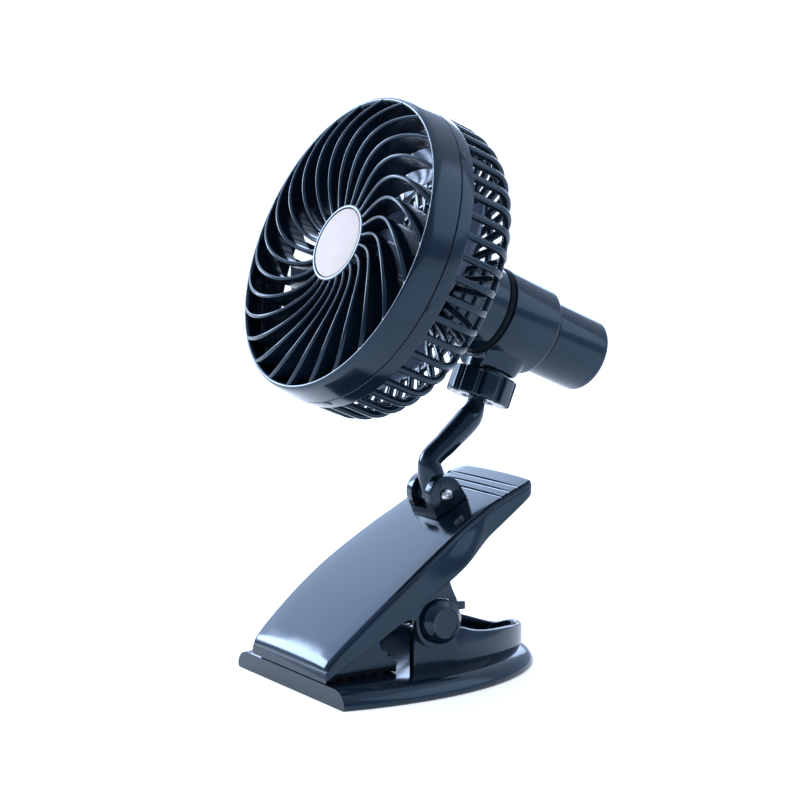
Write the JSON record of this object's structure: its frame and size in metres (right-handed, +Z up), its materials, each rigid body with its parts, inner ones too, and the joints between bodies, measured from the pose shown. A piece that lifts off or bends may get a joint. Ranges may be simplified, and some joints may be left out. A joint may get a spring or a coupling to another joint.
{
  "type": "clip fan",
  "caption": "Round fan head on a battery tube, held by a ball joint and a bent arm on a wide sprung clip with a flat base.",
  "frame": {"origin": "on the flat underside of the lower jaw, in its middle plane, straight under the middle of the base", "axes": "+Z up from the table, -Y the way the fan blows, +X towards the side seen in the picture"},
  "size_m": [0.1234, 0.1495, 0.2282],
  "materials": {
    "gloss_shell": "high-gloss black moulded plastic with a blue cast",
    "blade_plastic": "glossy dark moulded blades",
    "white_badge": "plain satin white disc",
    "inner_plastic": "matt dark moulded plastic",
    "button_plastic": "satin dark button",
    "rubber": "matt black soft rubber",
    "steel": "bright zinc-plated steel",
    "motor_can": "drawn steel can",
    "cell_can": "blue film over a metal can",
    "contact_brass": "plated contact",
    "board": "green lacquered circuit board",
    "lamp": "clear light pipe"
  },
  "bodies": {
    "base": {"lower_jaw": "gloss_shell", "lower_jaw_pad": "rubber", "pivot_pin": "steel", "spring_sleeve": "inner_plastic", "torsion_spring": "steel"},
    "clip_lever": {"upper_jaw": "gloss_shell", "upper_jaw_pad": "rubber", "arm_bracket": "gloss_shell", "hinge_screw": "steel", "hinge_nut": "steel", "bracket_screw_front": "steel", "bracket_screw_rear": "steel"},
    "arm": {"arm": "gloss_shell"},
    "ball_collet": {"ball_seat": "inner_plastic"},
    "head": {"front_grille": "gloss_shell", "badge_disc": "white_badge", "rear_grille": "gloss_shell", "motor": "motor_can", "neck_housing": "gloss_shell", "seal_ring": "rubber", "control_housing": "gloss_shell", "end_tube": "gloss_shell", "battery_cell": "cell_can", "battery_cradle": "inner_plastic", "contact_plate": "contact_brass", "contact_holder": "inner_plastic", "contact_spring": "steel", "circuit_board": "board", "charge_port": "steel", "charge_lamp": "lamp", "neck_screw_1": "steel", "neck_screw_2": "steel", "neck_screw_3": "steel"},
    "nut": {"ring_nut": "gloss_shell"},
    "fan_wheel": {"impeller": "blade_plastic", "motor_shaft": "steel"},
    "button": {"power_button": "button_plastic"}
  },
  "joints": [
    {"name": "jaw_hinge", "type": "hinge", "parent": "base", "child": "clip_lever", "pos_m": [0, -0.002, 0.0264], "axis": [-1, 0, 0], "range_deg": [0, 30], "stiffness_Nm_per_rad": 1, "springref_deg": -40.11, "deforming": ["torsion_spring"]},
    {"name": "arm_tilt", "type": "hinge", "parent": "clip_lever", "child": "arm", "pos_m": [0, 0.0156, 0.0711], "axis": [1, 0, 0], "range_deg": [-20, 25]},
    {"name": "ball_tilt", "type": "hinge", "parent": "arm", "child": "ball_collet", "pos_m": [0, 0.03828, 0.11163], "axis": [1, 0, 0], "range_deg": [-20, 20]},
    {"name": "head_swivel", "type": "hinge", "parent": "ball_collet", "child": "head", "pos_m": [0, 0.03828, 0.11163], "axis": [0, 0.3882, 0.9216], "continuous": true},
    {"name": "nut_turn", "type": "hinge", "parent": "head", "child": "nut", "pos_m": [0, 0.03828, 0.11163], "axis": [0, 0.3882, 0.9216], "range_deg": [0, 330]},
    {"name": "fan_spin", "type": "hinge", "parent": "head", "child": "fan_wheel", "pos_m": [0, -0.03025, 0.17305], "axis": [0, 0.9216, -0.3882], "continuous": true},
    {"name": "button_press", "type": "slide", "parent": "head", "child": "button", "axis": [1, 0, 0], "range_m": [0, 0.0008], "stiffness_N_per_m": 900, "springref_m": -0.0006}
  ]
}
